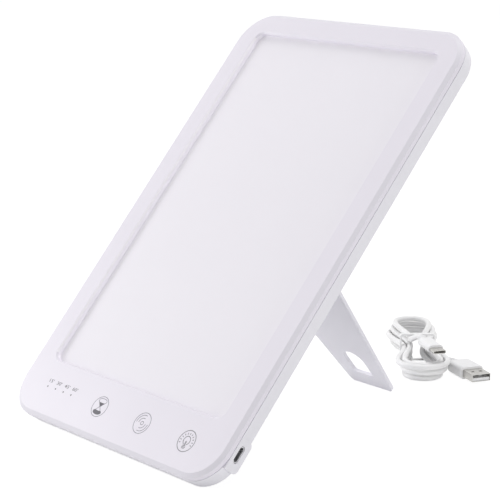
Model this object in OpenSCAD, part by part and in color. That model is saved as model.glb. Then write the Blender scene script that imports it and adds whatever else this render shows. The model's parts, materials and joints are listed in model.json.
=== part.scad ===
// Desk light therapy lamp: a flat edge-lit light panel that leans on a fold-out kickstand,
// with its tied USB cable lying behind it. Millimetres, +Z up, the light faces -Y.
// The panel pieces are drawn flat (x across, y up from the bottom edge, z out of the front
// face) and then leaned back by on_panel().

/* [Panel] */
// Width of the panel
panel_w = 181; // [160:1:220]
// Height of the panel
panel_h = 278; // [260:1:320]
// Thickness of the panel, front face to back face
panel_t = 13.2; // [12.8:0.1:16]
// Corner radius of the panel outline
corner_r = 21; // [16:1:30]
// Depth of the front frame, from the front face to the seam
front_depth = 3.9; // [3.6:0.1:4.6]
// How far the bevel round the front face reaches inwards
bevel_in = 2.4; // [1:0.1:3]
// How far the bevel round the front face reaches back
bevel_deep = 1.5; // [0.8:0.1:2]
// How far the back shell draws in towards the back face
wall_draft = 0.75; // [0.3:0.05:1.2]
// Radius of the edge round the back face
back_edge_r = 2; // [1:0.1:2.4]
// Wall of the back shell
shell_wall = 1.8; // [1.5:0.1:2.2]
// Thickness of the front frame's plate
plate_t = 1.8; // [1.5:0.1:2.2]
// Height of the shadow gap at the seam
seam_gap = 0.4; // [0.2:0.05:0.5]
// Depth of the shadow gap at the seam
seam_deep = 0.5; // [0.3:0.1:0.8]

/* [Window] */
// Border beside the light window
border_side = 16; // [14:0.5:20]
// Border above the light window
border_top = 14; // [12.5:0.5:20]
// Border below the light window, where the controls are
border_bottom = 34.5; // [33:0.5:45]
// Corner radius of the light window
window_r = 5.5; // [3:0.5:10]
// How deep the diffuser lies behind the front face
window_deep = 3; // [2.6:0.1:3.4]
// Bevel on the window's front edge
window_bevel = 1; // [0.3:0.1:1.2]
// Thickness of the lip round the window
lip_t = 1.4; // [1:0.1:2]

/* [Light] */
// Thickness of the diffuser sheet
diffuser_t = 1.2; // [0.8:0.1:1.5]
// Thickness of the light guide
guide_t = 2; // [1.6:0.1:2.2]
// Thickness of the reflector sheet
reflector_t = 0.25; // [0.2:0.05:0.3]
// How far the sheets reach behind the frame
sheet_overlap = 3; // [2:0.5:3]
// Number of light emitters on each side
led_count = 32; // [8:1:36]
// Length of one light emitter along the strip
led_len = 3; // [1.6:0.1:4]
// Thickness of one light emitter
led_t = 0.7; // [0.5:0.05:0.8]
// Thickness of a light strip board
strip_t = 0.8; // [0.6:0.1:1]
// Height of a light strip board
strip_h = 2.6; // [2.2:0.1:2.8]

/* [Controls] */
// Height of the row of touch buttons above the bottom edge
control_y = 18; // [17:0.5:20]
// Distance of the last touch button from the panel's right side
button_in = 30.5; // [28:0.5:36]
// Spacing of the touch buttons
button_pitch = 37.5; // [34:0.5:38]
// Distance of the first timer light from the panel's left side
timer_in = 25.5; // [25:0.5:30]
// Spacing of the timer lights
timer_pitch = 7.5; // [6:0.5:9]
// Diameter of a timer light
timer_d = 0.9; // [0.8:0.1:1.6]

/* [Socket] */
// Height of the power socket above the bottom edge
socket_y = 22.5; // [20:0.1:24]
// Depth of the power socket's centre behind the front face
socket_deep = 8.2; // [8.1:0.05:8.5]
// Width of the hole for the plug
socket_hole_w = 9.7; // [9.4:0.1:10.4]
// Height of the hole for the plug
socket_hole_h = 3.4; // [3.3:0.05:3.6]
// Height of the flat pad round the socket, along the panel's side
pad_len = 18.2; // [15:0.1:20]
// Rounding of the pad's back corners
pad_r = 3; // [1:0.5:4]

/* [Stand] */
// Lean of the panel above the table
lean = 49; // [46:0.5:56]
// Height of the hinge above the panel's bottom edge
hinge_y = 150.5; // [150:0.5:170]
// Depth of the hinge axis in from the back face
hinge_inset = 2.4; // [2.3:0.05:2.6]
// Length of the stand, hinge axis to foot
stand_len = 147; // [130:0.5:147]
// Width of the stand at the hinge
stand_w_top = 79.5; // [70:0.5:90]
// Width of the stand at the foot, before its corners are rounded
stand_w_foot = 34.8; // [28:0.1:50]
// Thickness of the stand
stand_t = 2; // [1.8:0.1:2.2]
// Corner radius at the foot
foot_r = 5; // [3:0.5:8]
// Width of the slot in the stand
slot_w = 16; // [12:0.5:18]
// Length of the slot in the stand
slot_len = 20; // [16:0.5:30]
// Distance from the slot's straight end to the foot
slot_to_foot = 12; // [8:0.5:16]
// Diameter of the hinge pins
pin_d = 2; // [1.6:0.1:2.2]
// Diameter of the hinge knuckles
knuckle_d = 3.8; // [3.6:0.1:4]
// Width of one knuckle of the stand
knuckle_w = 7; // [5:0.5:9]
// Width of one fixed lug of the shell
lug_w = 6; // [4:0.5:8]
// Distance of the outer knuckles from the stand's sides
knuckle_in = 0.15; // [0.1:0.05:3]
// Thickness of a friction washer
washer_t = 0.5; // [0.3:0.05:0.8]
// Gap between the folded stand and its recess
stand_gap = 0.5; // [0.3:0.1:0.8]

/* [Screws] */
// Shank diameter of the case screws
screw_d = 2.6; // [2:0.1:2.8]
// Head diameter of the case screws
screw_head_d = 4.6; // [4:0.1:4.8]
// Head height of the case screws
screw_head_t = 1.6; // [1.2:0.1:1.8]

/* [Cable] */
// Diameter of the cable
cable_d = 3.5; // [3.5]
// Length of the tied hank
hank_len = 111; // [111]
// Width of the plug's grip at the lamp end
grip_c_w = 9.6; // [9:0.1:11]
// Width of the plug's grip at the charger end
grip_a_w = 15; // [14:0.1:16]

/* [Hidden] */
$fn = 64;
EPS = 0.01;
BIG = 600;

// ---- Panel ----
back_z = -panel_t;
seam_z = -front_depth;
floor_z = back_z + shell_wall;
wall_in = shell_wall + wall_draft;
fit_gap = 0.15;
lip_in_t = 0.9;
lip_reach = 1.3;
window_w = panel_w - 2 * border_side;
window_h = panel_h - border_top - border_bottom;
window_mid_y = border_bottom + window_h / 2;

// ---- Light stack, from the front to the back ----
diffuser_z = -window_deep;
guide_z = diffuser_z - diffuser_t;
reflector_z = guide_z - guide_t;
stack_z = reflector_z - reflector_t;
sheet_w = window_w + 2 * sheet_overlap;
sheet_h = window_h + 2 * sheet_overlap;
sheet_r = 2;
strip_x = sheet_w / 2 + 0.1 + led_t;
strip_y0 = window_mid_y - sheet_h / 2 - 1;
strip_y1 = window_mid_y + sheet_h / 2 - 2;
led_pitch = (strip_y1 - strip_y0 - 8) / (led_count - 1);
strip_z = guide_z - guide_t / 2;
rib_t = 0.7;
foam_w = 8;

// ---- Controls ----
board_t = 1.2;
board_front_z = -socket_deep + 1.6 + board_t;
board_back_z = board_front_z - board_t;
board_y0 = 10;
board_y1 = strip_y0 - 0.3;
board_in = 6.5;
board_x1 = panel_w / 2 - board_in;
board_x0 = -board_x1;
board_hole_in = 14;
board_hole_up = 3;
board_holes = [for (x = [board_x0 + board_hole_in, board_x1 - board_hole_in],
    y = [board_y0 + board_hole_up, board_y1 - board_hole_up]) [x, y]];
button_mid_x = panel_w / 2 - button_in - button_pitch;
timer_x = timer_in - panel_w / 2;
spring_r = 4.6;
spring_wire = 0.5;
lead_d = 1;
lead_on_board = 3;

board_screw_d = 1.9;
socket_w = 8.94;
socket_h = 3.1;
socket_len = 7.3;
socket_wall = 0.28;
socket_face_x = panel_w / 2 - 0.4;
pad_y0 = socket_y - pad_len / 2 - 0.5;

// ---- Hinge and stand ----
axis_z = back_z + hinge_inset;
stand_in = hinge_inset - stand_t;
stop_gap = 0.05;
recess_deep = stand_t + 0.3;
recess_wall = 1.5;
pocket_back = knuckle_d / 2 + 0.4;
pocket_top = knuckle_d / 2 + 0.4;
pocket_wall = 1.2;
rest_flat = 0.2;
foot_flat = 0.6;
hole_gap = 0.02;
run_gap = 0.05;
side_gap = 0.1;
taper = (stand_w_top - stand_w_foot) / 2 / stand_len;
knuckle_off = lug_w / 2 + washer_t + side_gap + knuckle_w / 2;
pin_short = 0.5;
pin_len = lug_w + 2 * (washer_t + side_gap + knuckle_w - pin_short);
lug_x = stand_w_top / 2 - knuckle_in - knuckle_w - side_gap - washer_t - lug_w / 2;
washer_in = 0.2;

// Where a point of the leaned panel lies: height and distance back, before it is set on the table
function high(y, z) = y * sin(lean) + z * cos(lean);
function behind(y, z) = y * cos(lean) - z * sin(lean);
// The panel rests on a narrow flat cut on its rounded lower back edge
table_level = high(wall_draft + back_edge_r, back_z + back_edge_r) - back_edge_r + rest_flat;
hinge_high = high(hinge_y, axis_z) - table_level;
// The stand slopes down to the table behind; its foot is cut flat there
stand_slope = asin((hinge_high + foot_flat) / sqrt(pow(stand_len, 2) + pow(stand_in, 2)))
    + atan(stand_in / stand_len);
open_angle = 180 - lean - stand_slope;
// The origin is under the middle of the lamp's outline
reach_front = min(behind(0, -bevel_deep), behind(bevel_in, 0));
reach_back = behind(hinge_y, axis_z) + stand_len * cos(stand_slope) + hinge_inset * sin(stand_slope);
mid_back = (reach_front + reach_back) / 2;

// ---- Case screws ----
boss_r = 3;
boss_z = back_z + 6.2;
boss_in = wall_in + fit_gap + lip_in_t + boss_r + 0.2;
head_deep = screw_head_t + 0.8;
screw_at = [
    [panel_w / 2 - boss_in, panel_h / 2], [boss_in - panel_w / 2, panel_h / 2],
    [35, panel_h - boss_in], [-35, panel_h - boss_in], [45, boss_in], [-45, boss_in]];

// ---- Cable ----
// The hank lies on the table behind the stand, its near end towards the viewer
hank_at = [18.8, 224.7 - mid_back, 0];
hank_turn = 50.1;
cable_gap = 0.5;
lay_z = cable_d / 2 + 0.45;
layer_z = cable_d + cable_gap;
fold_r = 3 * cable_d;
loop_step = 4.7;
draw_in = 7;
layers = 4;
layer_turns = 1;
start_turns = 0.25;
climb_turns = 0.5;
hank_turns = (layers - 1) * (layer_turns + climb_turns);
outer_r = fold_r + loop_step;
near_y = outer_r + cable_d / 2;
far_y = hank_len - near_y;
tie_y = (near_y + far_y) / 2;
tie_w = 3.5;
tie_t = 0.9;
hank_rings = 24;
end_len = tie_w / 2 + 1;
sweep_fn = 8;

// ============================ Helpers ============================

module on_panel() {
    translate([0, -mid_back, -table_level]) rotate([lean, 0, 0]) children();
}

// The stand is drawn folded, with y = 0 and z = 0 on the hinge axis, then swung open
module on_hinge() {
    on_panel() translate([0, hinge_y, axis_z]) children();
}

module above_table() {
    difference() {
        children();
        translate([-BIG / 2, -BIG / 2, -BIG]) cube([BIG, BIG, BIG]);
    }
}

module rounded(w, h, r) {
    union() {
        square([w - 2 * r, h], center = true);
        square([w, h - 2 * r], center = true);
        for (x = [-1, 1], y = [-1, 1]) translate([x * (w / 2 - r), y * (h / 2 - r)]) circle(r);
    }
}

// A rounded rectangular plate from z0 up to z1, its centre at height mid
module slab(w, h, r, mid, z0, z1) {
    translate([0, mid, z0]) linear_extrude(z1 - z0) rounded(w, h, r);
}

// Runs a profile round a rounded rectangle. In the profile x is outwards from the outline, y is z.
module round_edge(w, h, r, mid) {
    translate([0, mid, 0]) {
        for (k = [0:3]) {
            along = k % 2 == 0 ? h : w;
            across = k % 2 == 0 ? w : h;
            rotate([0, 0, 90 * k]) {
                translate([across / 2 - r, along / 2 - r, 0])
                    rotate_extrude(angle = 90) translate([r, 0]) children();
                translate([across / 2, along / 2 - r, 0]) rotate([90, 0, 0])
                    linear_extrude(along - 2 * r) children();
            }
        }
    }
}

// A flat-sided slot shape with round ends, w wide and h high
module stadium(w, h) {
    union() {
        square([w - h, h], center = true);
        for (x = [-1, 1]) translate([x * (w - h) / 2, 0]) circle(h / 2);
    }
}

function arc(cx, cy, r, a0, a1, n = 10) =
    [for (k = [0:n]) let (a = a0 + (a1 - a0) * k / n) [cx + r * cos(a), cy + r * sin(a)]];

// ============================ Panel housing ============================

module screw_places() {
    for (p = screw_at) translate([p[0], p[1], 0]) children();
}

// Front frame: bevelled plate with the window, skirt down to the seam, inner lip and screw bosses
module front_bezel() {
    color("ghostwhite") on_panel() difference() {
        union() {
            difference() {
                slab(panel_w, panel_h, corner_r, panel_h / 2, seam_z, 0);
                slab(panel_w - 2 * wall_in, panel_h - 2 * wall_in, corner_r - wall_in,
                    panel_h / 2, seam_z - 1, -plate_t);
                round_edge(panel_w, panel_h, corner_r, panel_h / 2)
                    polygon([[-bevel_in, 0], [0, -bevel_deep], [1, -bevel_deep], [1, 1], [-bevel_in, 1]]);
            }
            bezel_lip();
            slab(window_w + 2 * lip_t, window_h + 2 * lip_t, window_r + lip_t,
                window_mid_y, -window_deep, -plate_t + EPS);
            screw_places() translate([0, 0, boss_z]) cylinder(h = -plate_t - boss_z + EPS, r = boss_r);
        }
        slab(window_w, window_h, window_r, window_mid_y, -BIG / 2, 1);
        round_edge(window_w, window_h, window_r, window_mid_y)
            polygon([[-1, -window_bevel - EPS], [0, -window_bevel], [window_bevel, 0],
                [window_bevel, 1], [-1, 1]]);
        screw_places() translate([0, 0, boss_z - 1])
            cylinder(h = -plate_t - 1 - boss_z + 1, r = screw_d / 2 + hole_gap);
        timer_places() translate([0, 0, -BIG / 2]) cylinder(h = BIG, r = timer_d / 2 + fit_gap / 2);
    }
}

// The lip that keys the front frame into the back shell
module bezel_lip() {
    inset = wall_in + fit_gap;
    difference() {
        slab(panel_w - 2 * inset, panel_h - 2 * inset, corner_r - inset,
            panel_h / 2, seam_z - lip_reach, -plate_t + EPS);
        slab(panel_w - 2 * (inset + lip_in_t), panel_h - 2 * (inset + lip_in_t),
            corner_r - inset - lip_in_t, panel_h / 2, -BIG / 2, 1);
    }
}

module timer_places() {
    for (k = [0:3]) translate([timer_x + k * timer_pitch, control_y, 0]) children();
}

// Outline of the stand's recess, drawn from the hinge axis down, each edge gap out from the stand
module stand_outline(gap, top) {
    half_top = stand_w_top / 2 + gap + taper * top;
    half_foot = stand_w_foot / 2 + gap - taper * gap;
    end = -stand_len - gap;
    r = foot_r + gap;
    side = atan(taper);
    reach = r * tan(45 - side / 2);
    cx = half_foot + sin(side) * reach - r * cos(side);
    cy = end + r;
    polygon(concat([[half_top, top], [-half_top, top]],
        arc(-cx, cy, r, 180 + side, 270), arc(cx, cy, r, 270, 360 - side)));
}

// Side view of the hinge pocket: the upper wall slopes, so the open stand leans flat on it
module pocket_profile(grow = 0) {
    stop = hinge_inset + stop_gap + grow;
    high_z = pocket_top + grow;
    low_z = -hinge_inset - (grow > 0 ? 0 : 1);
    function stop_y(z) = (stop + z * cos(open_angle)) / sin(open_angle);
    polygon([[-pocket_back - grow, low_z], [stop_y(low_z), low_z],
        [stop_y(high_z), high_z], [-pocket_back - grow, high_z]]);
}

module pocket(grow = 0) {
    half = stand_w_top / 2 + stand_gap + grow;
    translate([-half, 0, 0]) rotate([90, 0, 90]) linear_extrude(2 * half) pocket_profile(grow);
}

// Back shell: drafted wall with a round back edge, stand recess, hinge pocket and lugs, socket pad
module back_shell() {
    color("whitesmoke") above_table() on_panel() difference() {
        union() {
            difference() {
                union() {
                    shell_solid();
                    socket_pad();
                }
                slab(panel_w - 2 * wall_in, panel_h - 2 * wall_in, corner_r - wall_in,
                    panel_h / 2, floor_z, 1);
                socket_opening();
            }
            translate([0, hinge_y, axis_z]) recess_tub();
            shell_ribs();
            screw_places() translate([0, 0, back_z + EPS]) cylinder(h = boss_z - back_z - EPS, r = boss_r);
            for (p = board_holes) translate([p[0], p[1], floor_z - EPS])
                cylinder(h = board_back_z - floor_z + EPS, r = 2.2);
        }
        translate([0, hinge_y, axis_z]) {
            pocket();
            translate([0, 0, -hinge_inset - 1]) linear_extrude(recess_deep + 1) stand_outline(stand_gap, -1);
        }
        screw_places() {
            translate([0, 0, back_z - 1]) cylinder(h = head_deep + 1, r = screw_head_d / 2 + 0.2);
            translate([0, 0, back_z - 1]) cylinder(h = panel_t, r = screw_d / 2 + 0.1);
        }
        for (p = board_holes) translate([p[0], p[1], floor_z + 0.5])
            cylinder(h = panel_t, r = board_screw_d / 2 + hole_gap);
    }
    color("whitesmoke") hinge_lugs();
}

// The closed outer form of the shell, up to the seam and its shadow gap
module shell_solid() {
    difference() {
        slab(panel_w, panel_h, corner_r, panel_h / 2, back_z, seam_z);
        round_edge(panel_w, panel_h, corner_r, panel_h / 2)
            polygon(concat([[1, seam_z - seam_gap], [0, seam_z - seam_gap]],
                arc(-wall_draft - back_edge_r, back_z + back_edge_r, back_edge_r, 0, -90),
                [[-wall_draft - back_edge_r, back_z - 1], [1, back_z - 1]]));
        round_edge(panel_w, panel_h, corner_r, panel_h / 2)
            translate([-seam_deep, seam_z - seam_gap]) square([seam_deep + 1, seam_gap + 1]);
    }
}

// Flat pad on the side wall, so the plug's face seats square to the socket
module socket_pad() {
    depth = panel_t - front_depth - seam_gap - 0.1;
    translate([panel_w / 2 - corner_r / 2, pad_y0, seam_z - seam_gap]) rotate([90, 0, 90])
        linear_extrude(corner_r / 2) union() {
            translate([0, pad_r - depth]) square([pad_len, depth - pad_r]);
            translate([pad_r, -depth]) square([pad_len - 2 * pad_r, pad_r + EPS]);
            for (x = [pad_r, pad_len - pad_r]) translate([x, pad_r - depth]) circle(pad_r);
        }
}

module socket_opening() {
    translate([panel_w / 2 - corner_r / 2 - 1, socket_y, -socket_deep]) rotate([90, 0, 90])
        linear_extrude(corner_r) stadium(socket_hole_w, socket_hole_h);
}

// The walls behind the recess and the hinge pocket, inside the housing
module recess_tub() {
    intersection() {
        union() {
            translate([0, 0, -hinge_inset + EPS]) linear_extrude(recess_deep + recess_wall - EPS)
                stand_outline(stand_gap + recess_wall, 0);
            pocket(pocket_wall);
        }
        translate([-BIG / 2, -BIG / 2, -hinge_inset + EPS]) cube([BIG, BIG, BIG]);
    }
}

// Long ribs behind the light strips
module shell_ribs() {
    for (s = [-1, 1]) translate([s * (strip_x + strip_t + fit_gap + rib_t / 2), 0, floor_z - EPS])
        translate([-rib_t / 2, strip_y0 + 4, 0])
            cube([rib_t, strip_y1 - strip_y0 - 4, strip_z + strip_h / 2 - floor_z]);
}

// Fixed lugs that carry the hinge pins, hanging from the pocket's ceiling
module hinge_lugs() {
    on_hinge() for (s = [-1, 1]) translate([s * lug_x - lug_w / 2, 0, 0]) difference() {
        union() {
            rotate([0, 90, 0]) cylinder(h = lug_w, r = knuckle_d / 2);
            translate([0, -knuckle_d / 2, 0]) cube([lug_w, knuckle_d, pocket_top + EPS]);
        }
        translate([-1, 0, 0]) rotate([0, 90, 0]) cylinder(h = lug_w + 2, r = pin_d / 2 + hole_gap);
    }
}

module case_screws() {
    color("silver") on_panel() screw_places() {
        translate([0, 0, back_z + head_deep - screw_head_t]) difference() {
            cylinder(h = screw_head_t, r = screw_head_d / 2);
            for (a = [0, 90]) rotate([0, 0, a]) translate([-screw_head_d, -0.3, -1])
                translate([screw_head_d * 0.65, 0, 0]) cube([screw_head_d * 0.7, 0.6, 1.7]);
        }
        translate([0, 0, back_z + head_deep - EPS])
            cylinder(h = -plate_t - 1.5 - back_z - head_deep, r = screw_d / 2);
    }
}

// ============================ Light ============================

module sheet(z1, t) {
    on_panel() slab(sheet_w, sheet_h, sheet_r, window_mid_y, z1 - t, z1);
}

module diffuser() {
    color("white") sheet(diffuser_z, diffuser_t);
}

module light_guide() {
    color("azure") sheet(guide_z, guide_t);
}

module reflector_sheet() {
    color("white") sheet(reflector_z, reflector_t);
}

module light_strip(side) {
    color("mintcream") on_panel()
        translate([side > 0 ? strip_x : -strip_x - strip_t, strip_y0, strip_z - strip_h / 2])
            cube([strip_t, strip_y1 - strip_y0, strip_h]);
}

module emitters(side) {
    color("khaki") on_panel() for (k = [0:led_count - 1])
        translate([side * (strip_x - led_t / 2), strip_y0 + 4 + k * led_pitch, strip_z])
            cube([led_t, led_len, guide_t * 0.7], center = true);
}

module light_strip_left() { light_strip(-1); }
module light_strip_right() { light_strip(1); }
module emitters_left() { emitters(-1); }
module emitters_right() { emitters(1); }

// Soft strips that press the light stack against the frame
module foam_strips() {
    color("dimgray") on_panel() for (s = [-1, 1])
        translate([s * (sheet_w / 2 - 12) - foam_w / 2, border_bottom + 4, floor_z])
            cube([foam_w, window_h - 8, stack_z - floor_z]);
}

// ============================ Controls ============================

module control_board() {
    color("seagreen") on_panel() difference() {
        translate([board_x0, board_y0, board_back_z])
            cube([board_x1 - board_x0, board_y1 - board_y0, board_t]);
        for (p = board_holes) translate([p[0], p[1], board_back_z - 1])
            cylinder(h = board_t + 2, r = board_screw_d / 2 + 0.15);
    }
}

module board_screws() {
    color("silver") on_panel() for (p = board_holes) translate([p[0], p[1], 0]) {
        translate([0, 0, board_front_z]) cylinder(h = 1, r = board_screw_d);
        translate([0, 0, floor_z + 1]) cylinder(h = board_front_z - floor_z - 1 + EPS, r = board_screw_d / 2);
    }
}

// Coil, capacitor and chips on the back of the board, placed from the board's ends
coil_d = 6;
coil_t = 2.2;
coil_in = 48;
capacitor = [5, 6, 2];
capacitor_in = 34;
driver = [6, 4, 1.4];
driver_in = 94;
touch_chip = [5, 5, 0.9];
touch_chip_in = 50;
diode = [3, 1.6, 0.8];
diode_in = 24;
module chip(size, x) {
    translate([x - size[0] / 2, -size[1] / 2, -size[2]]) cube(size);
}
module board_parts() {
    color("dimgray") on_panel() translate([0, (board_y0 + board_y1) / 2, board_back_z]) {
        translate([board_x1 - coil_in, 0, -coil_t]) cylinder(h = coil_t, r = coil_d / 2);
        chip(capacitor, board_x1 - capacitor_in);
        chip(driver, board_x1 - driver_in);
        chip(touch_chip, board_x0 + touch_chip_in);
        chip(diode, board_x1 - diode_in);
    }
}

// Short leads from the board to the light strips
module strip_leads() {
    color("firebrick") on_panel() for (s = [-1, 1])
        translate([s * (strip_x + strip_t / 2), board_y1 - lead_on_board, board_front_z + lead_d / 2])
            rotate([-90, 0, 0]) cylinder(h = lead_on_board + strip_y0 - board_y1, r = lead_d / 2);
}

// Tapered coil springs that carry the touch sense to the back of the front plate
module touch_springs() {
    spring_h = -plate_t - board_front_z;
    foot = spring_r - 1.6;
    color("gold") on_panel() for (k = [-1:1])
        translate([button_mid_x + k * button_pitch, control_y, board_front_z]) rotate_extrude()
            polygon([[foot - 2 * spring_wire, 0], [foot, 0], [spring_r, spring_h - spring_wire],
                [spring_r, spring_h], [spring_wire, spring_h], [spring_wire, spring_h - spring_wire],
                [spring_r - 1.6 * spring_wire, spring_h - spring_wire]]);
}

module timer_leds() {
    color("khaki") on_panel() timer_places() translate([0, 0, board_front_z + led_t / 2])
        cube([1.6, 0.8, led_t], center = true);
}

// Clear bar with one pin for each timer light
module timer_light_pipe() {
    bar_t = 1.2;
    color("gray") on_panel() {
        translate([timer_x - 3, control_y - 2, -plate_t - bar_t]) cube([3 * timer_pitch + 6, 4, bar_t]);
        timer_places() translate([0, 0, -plate_t - EPS]) cylinder(h = plate_t - 0.05, r = timer_d / 2);
    }
}

module socket_shell() {
    color("silver") on_panel() translate([socket_face_x - socket_len, socket_y, -socket_deep])
        rotate([90, 0, 90]) difference() {
            linear_extrude(socket_len) stadium(socket_w, socket_h);
            translate([0, 0, 1]) linear_extrude(socket_len)
                stadium(socket_w - 2 * socket_wall, socket_h - 2 * socket_wall);
        }
}

module socket_tongue() {
    color("dimgray") on_panel() translate([socket_face_x - socket_len + 1, socket_y, -socket_deep])
        rotate([90, 0, 90]) {
            linear_extrude(1) stadium(socket_w - 2 * socket_wall - 0.1, socket_h - 2 * socket_wall - 0.1);
            translate([-3.35, -0.35, 1 - EPS]) cube([6.7, 0.7, socket_len - 2.6]);
        }
}

// ============================ Kickstand ============================

// The folded stand in its own frame: plate below the axis, knuckles on the axis
module stand_body() {
    difference() {
        union() {
            translate([0, 0, -hinge_inset]) linear_extrude(stand_t) stand_outline(0, 0);
            knuckle_places() rotate([0, 90, 0]) cylinder(h = knuckle_w, r = knuckle_d / 2);
        }
        knuckle_places() translate([-1, 0, 0]) rotate([0, 90, 0])
            cylinder(h = knuckle_w + 2, r = pin_d / 2 + run_gap);
        lug_clearance();
        stand_slot();
    }
}

module knuckle_places() {
    for (s = [-1, 1], k = [-1, 1])
        translate([s * lug_x + k * knuckle_off - knuckle_w / 2, 0, 0]) children();
}

// Notches in the plate's hinge edge, round each fixed lug and its washers
module lug_clearance() {
    notch = lug_w + 2 * (washer_t + side_gap);
    deep = knuckle_d / 2 + 0.5;
    for (s = [-1, 1]) translate([s * lug_x - notch / 2, -deep, -BIG / 2])
        cube([notch, 2 * deep, BIG]);
}

// Slot with a round upper end and a straight lower end with small corners
module stand_slot() {
    low = -stand_len + slot_to_foot;
    r = 2;
    translate([0, 0, -BIG / 2]) linear_extrude(BIG) polygon(concat(
        arc(slot_w / 2 - r, low + r, r, 270, 360, 6),
        arc(0, low + slot_len - slot_w / 2, slot_w / 2, 0, 180, 20),
        arc(-slot_w / 2 + r, low + r, r, 180, 270, 6)));
}

module kickstand() {
    color("gainsboro") above_table() on_hinge() rotate([open_angle, 0, 0]) stand_body();
}

module hinge_pins() {
    color("silver") on_hinge() for (s = [-1, 1])
        translate([s * lug_x - pin_len / 2, 0, 0]) rotate([0, 90, 0])
            cylinder(h = pin_len, r = pin_d / 2);
}

module hinge_washers() {
    color("black") on_hinge() for (s = [-1, 1], k = [-1, 1])
        translate([s * lug_x + k * (lug_w + washer_t + side_gap) / 2 - washer_t / 2, 0, 0])
            rotate([0, 90, 0]) difference() {
                cylinder(h = washer_t, r = knuckle_d / 2 - washer_in);
                translate([0, 0, -1]) cylinder(h = washer_t + 2, r = pin_d / 2 + hole_gap);
            }
}

// ============================ Cable ============================

module on_hank() {
    translate(hank_at) rotate([0, 0, hank_turn]) children();
}

// Radius of the loop and height of the tube's centre after t turns: the loops spiral in and out,
// and climb one layer along the run between two folds
layer_span = layer_turns + climb_turns;
function layer_of(t) = min(layers - 1, floor((t + start_turns) / layer_span));
function into_layer(t) = t + start_turns - layer_of(t) * layer_span;
function loop_r(t) =
    let (u = min(1, into_layer(t) / layer_turns), k = layer_of(t) % 2)
    fold_r + loop_step * (k == 0 ? 1 - u : u);
function loop_z(t) =
    let (c = max(0, into_layer(t) - layer_turns) / climb_turns)
    lay_z + layer_z * (layer_of(t) + (1 - cos(180 * min(1, c))) / 2);

// One loop as a run, a far fold, a run and a near fold; s goes from 0 to 1, starting at the tie
function waist(y) = draw_in * pow(cos(90 * min(1, abs(y - tie_y) / (tie_y - near_y))), 2);
function loop_xy(s, r) =
    let (run = far_y - tie_y, bend = PI * outer_r, whole = 4 * run + 2 * bend, d = s * whole)
    d < run ? [r - waist(tie_y + d), tie_y + d] :
    d < run + bend ? let (a = 180 * (d - run) / bend) [r * cos(a), far_y + r * sin(a)] :
    d < 3 * run + bend ? let (y = far_y - (d - run - bend)) [waist(y) - r, y] :
    d < 3 * run + 2 * bend ? let (a = 180 + 180 * (d - 3 * run - bend) / bend)
        [r * cos(a), near_y + r * sin(a)] :
    let (y = near_y + d - 3 * run - 2 * bend) [r - waist(y), y];

hank_path = [for (k = [0:hank_turns * hank_rings])
    let (t = k / hank_rings, p = loop_xy(t - floor(t), loop_r(t))) [p[0], p[1], loop_z(t)]];

// The least gap of the hank's tube to itself, from its points and the spans between them
function mid_points(path) = [for (k = [0:len(path) - 2], f = [0, 1 / 3, 2 / 3])
    path[k] + f * (path[k + 1] - path[k])];
hank_fine = mid_points(hank_path);
hank_gap = min([for (i = [0:len(hank_fine) - 1], j = [i + 12:1:len(hank_fine) - 1])
    norm(hank_fine[i] - hank_fine[j])]) - cable_d;
echo(hank_gap = hank_gap, open_angle = open_angle, mid_back = mid_back, table_level = table_level);

// A tube swept along a path: rings square to the path, upright side kept up
function unit(v) = v / norm(v);
function heading(path, k) = unit(path[min(k + 1, len(path) - 1)] - path[max(k - 1, 0)]);
module tube(path, d, sides) {
    ring = [for (k = [0:len(path) - 1])
        let (h = heading(path, k), side = unit(cross(h, [0, 0, 1])), up = cross(side, h))
        for (a = [0:sides - 1])
            path[k] + d / 2 * (cos(360 * (a + 0.5) / sides) * side + sin(360 * (a + 0.5) / sides) * up)];
    last = len(path) - 1;
    polyhedron(points = ring, faces = concat(
        [[for (a = [sides - 1:-1:0]) a]],
        [[for (a = [0:sides - 1]) last * sides + a]],
        [for (k = [0:last - 1], a = [0:sides - 1]) let (b = (a + 1) % sides, p = k * sides)
            each [[p + a, p + sides + b, p + sides + a], [p + a, p + b, p + sides + b]]]));
}

module cable_hank() {
    color("white") on_hank() tube(hank_path, cable_d, 6);
}

// Band round the waist of the hank
module cable_tie() {
    half = outer_r - draw_in + cable_d / 2 + 0.1;
    tall = layer_z * (layers - 1) + cable_d + 0.2;
    under = lay_z - cable_d / 2 - 0.1;
    r = cable_d / 2 + 0.1;
    color("white") on_hank() translate([0, tie_y, 0])
        rotate([90, 0, 0]) linear_extrude(tie_w, center = true) difference() {
            translate([0, (under + tall + tie_t) / 2]) rounded(2 * half + 2 * tie_t, under + tall + tie_t, r);
            translate([0, under + tall / 2]) rounded(2 * half, tall, r);
        }
}

// Free stretches, from the hank's ends at the tie to the plugs
plug_lamp_at = [0.5, 38, 18.7];
plug_lamp_turn = 14;
plug_charger_at = [20.3, 37.6, 3.9];
plug_charger_turn = 20;
relief_len = 8;
relief_ribs = 4;
relief_groove = 0.35;
relief_c_d = 5;
relief_a_d = 5.8;
grip_c_len = 19;
grip_c_t = 5.2;
grip_c_r = 2.5;
grip_c_edge = 0.4;
grip_a_len = 18;
grip_a_t = 7.4;
grip_a_r = 2.2;
grip_a_edge = 0.7;
plug_base = 0.8;
lamp_start = hank_path[len(hank_path) - 1];
charger_start = hank_path[0];
lead_lamp = [lamp_start, [lamp_start[0], 52, lamp_start[2]], [-4.4, 49.5, 14.8], [-3.5, 46.8, 16.2],
    [-2, 44, 17.7], [-0.3, 41.2, 18.7], plug_lamp_at];
lead_charger = [charger_start, [charger_start[0], 52, charger_start[2]], [7.4, 49.8, 2.3],
    [9.2, 47.7, 2.6], [12, 46.4, 3], [15, 45.4, 3.4], [16.8, 44.3, 3.6], [18.2, 42.7, 3.8],
    [19.1, 40.9, 3.9], plug_charger_at];

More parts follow.
